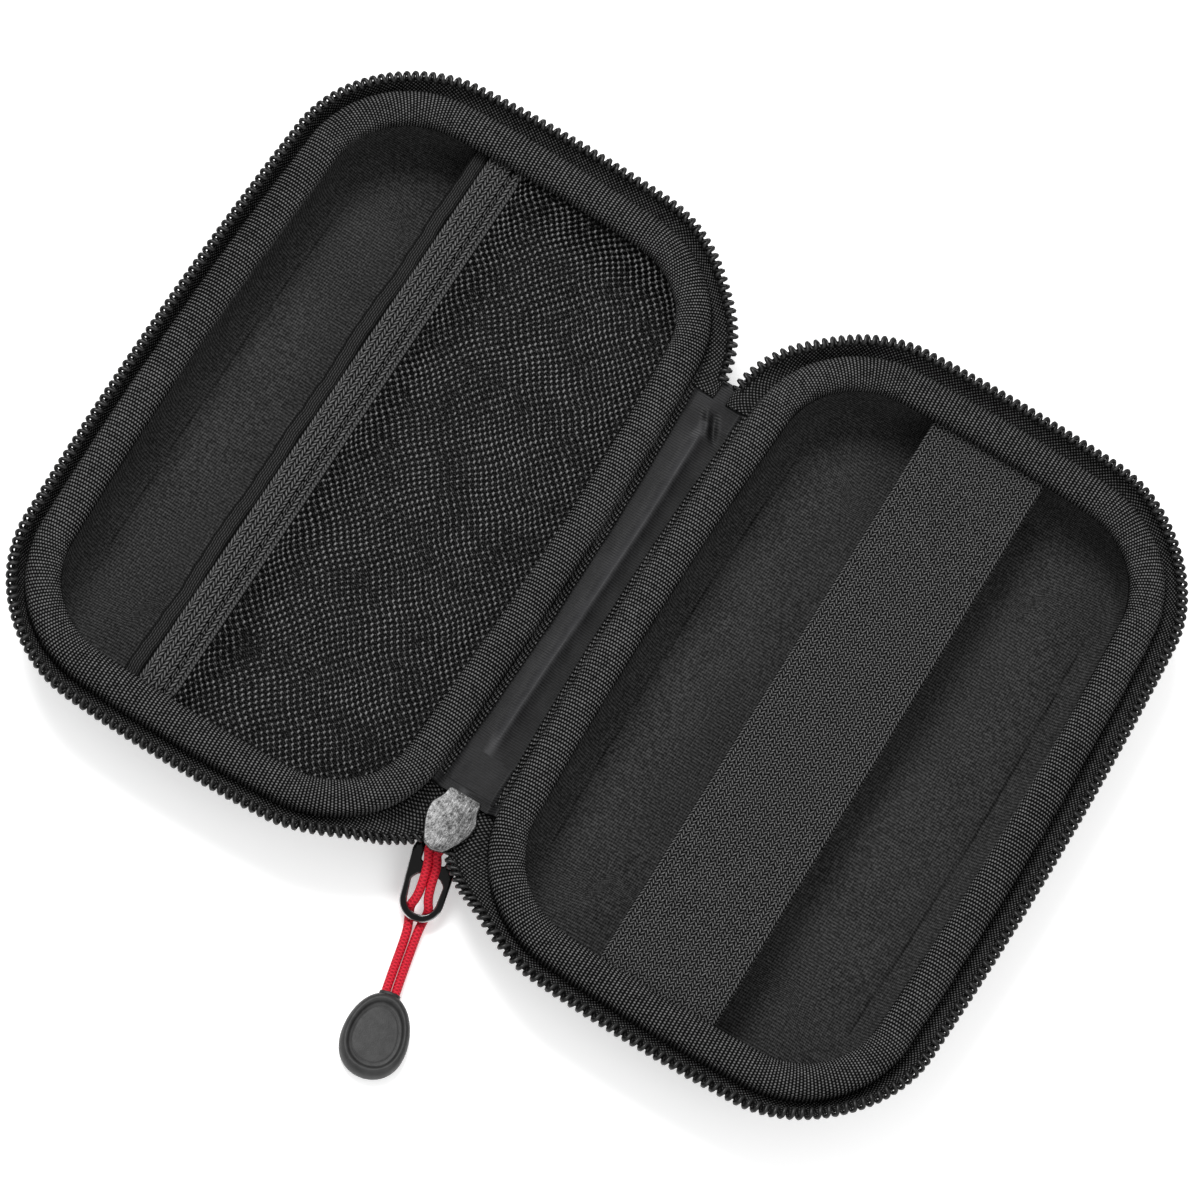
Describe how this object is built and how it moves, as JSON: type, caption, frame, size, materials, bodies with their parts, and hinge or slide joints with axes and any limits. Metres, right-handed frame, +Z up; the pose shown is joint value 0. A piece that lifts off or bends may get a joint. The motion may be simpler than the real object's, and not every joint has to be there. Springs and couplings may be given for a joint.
{
  "type": "cable organizer pouch",
  "caption": "Semi-hard zip travel pouch that opens flat like a book: elastic-strapped drive tray, lid with mesh cable pocket, fabric spine, zip slider with cord pull.",
  "frame": {"origin": "centre of the base tray's flat bottom, the face that rests on a table", "axes": "+Z up out of the open trays; +X across both trays, away from the spine and lid; +Y along the spine, away from the zip slider"},
  "size_m": [0.2272, 0.203, 0.022],
  "materials": {
    "eva_shell": "matt woven polyester bonded to moulded foam",
    "lining": "brushed tricot",
    "binding": "ribbed grosgrain tape",
    "zip_tape": "coarse woven zip tape",
    "zip_coil": "semi-gloss nylon coil",
    "elastic": "dense knitted elastic",
    "thread": "polyester thread",
    "mesh": "open knitted air mesh",
    "pocket_band": "ribbed elastic webbing",
    "spine_satin": "smooth woven nylon, soft sheen",
    "slider_metal": "matt dark tumbled die-casting",
    "ring_metal": "glossy gunmetal plating",
    "cord": "braided polyester",
    "pull_rubber": "matt moulded"
  },
  "bodies": {
    "base_tray": {"base_shell": "eva_shell", "base_lining": "lining", "base_binding": "binding", "base_zip_tape": "zip_tape", "base_zip_teeth": "zip_coil", "drive_strap": "elastic", "strap_bartacks": "thread"},
    "spine": {"spine_outer": "eva_shell", "spine_inner": "spine_satin", "spine_tab_far": "spine_satin", "spine_tab_near": "spine_satin", "spine_piping": "spine_satin", "zip_end_stop": "zip_tape"},
    "lid_tray": {"lid_shell": "eva_shell", "lid_lining": "lining", "lid_binding": "binding", "lid_zip_tape": "zip_tape", "lid_zip_teeth": "zip_coil", "pocket_mesh": "mesh", "pocket_band": "pocket_band"},
    "zip_slider": {"slider_body": "slider_metal", "slider_bridge": "slider_metal"},
    "puller": {"puller_ring": "ring_metal", "pull_cord_upper": "cord"},
    "grip": {"pull_cord_lower": "cord", "rubber_pull": "pull_rubber"}
  },
  "joints": [
    {"name": "base_fold", "type": "hinge", "parent": "base_tray", "child": "spine", "pos_m": [-0.0512, 0, 0.0161], "axis": [0, 1, 0], "range_deg": [0, 90]},
    {"name": "lid_fold", "type": "hinge", "parent": "spine", "child": "lid_tray", "pos_m": [-0.064, 0, 0.0161], "axis": [0, 1, 0], "range_deg": [0, 90]},
    {"name": "slider_travel", "type": "slide", "parent": "spine", "child": "zip_slider", "axis": [0, -1, 0], "range_m": [0, 0.004]},
    {"name": "puller_swing", "type": "hinge", "parent": "zip_slider", "child": "puller", "pos_m": [-0.0576, -0.066, 0.008], "axis": [0.9659, 0.2588, 0], "range_deg": [-12, 55]},
    {"name": "grip_swing", "type": "hinge", "parent": "puller", "child": "grip", "pos_m": [-0.05346, -0.08144, 0.00333], "axis": [0.9659, 0.2588, 0], "range_deg": [-40, 45]}
  ],
  "couplings": [
    {"joint": "lid_fold", "follows": "base_fold", "ratio": 1}
  ]
}
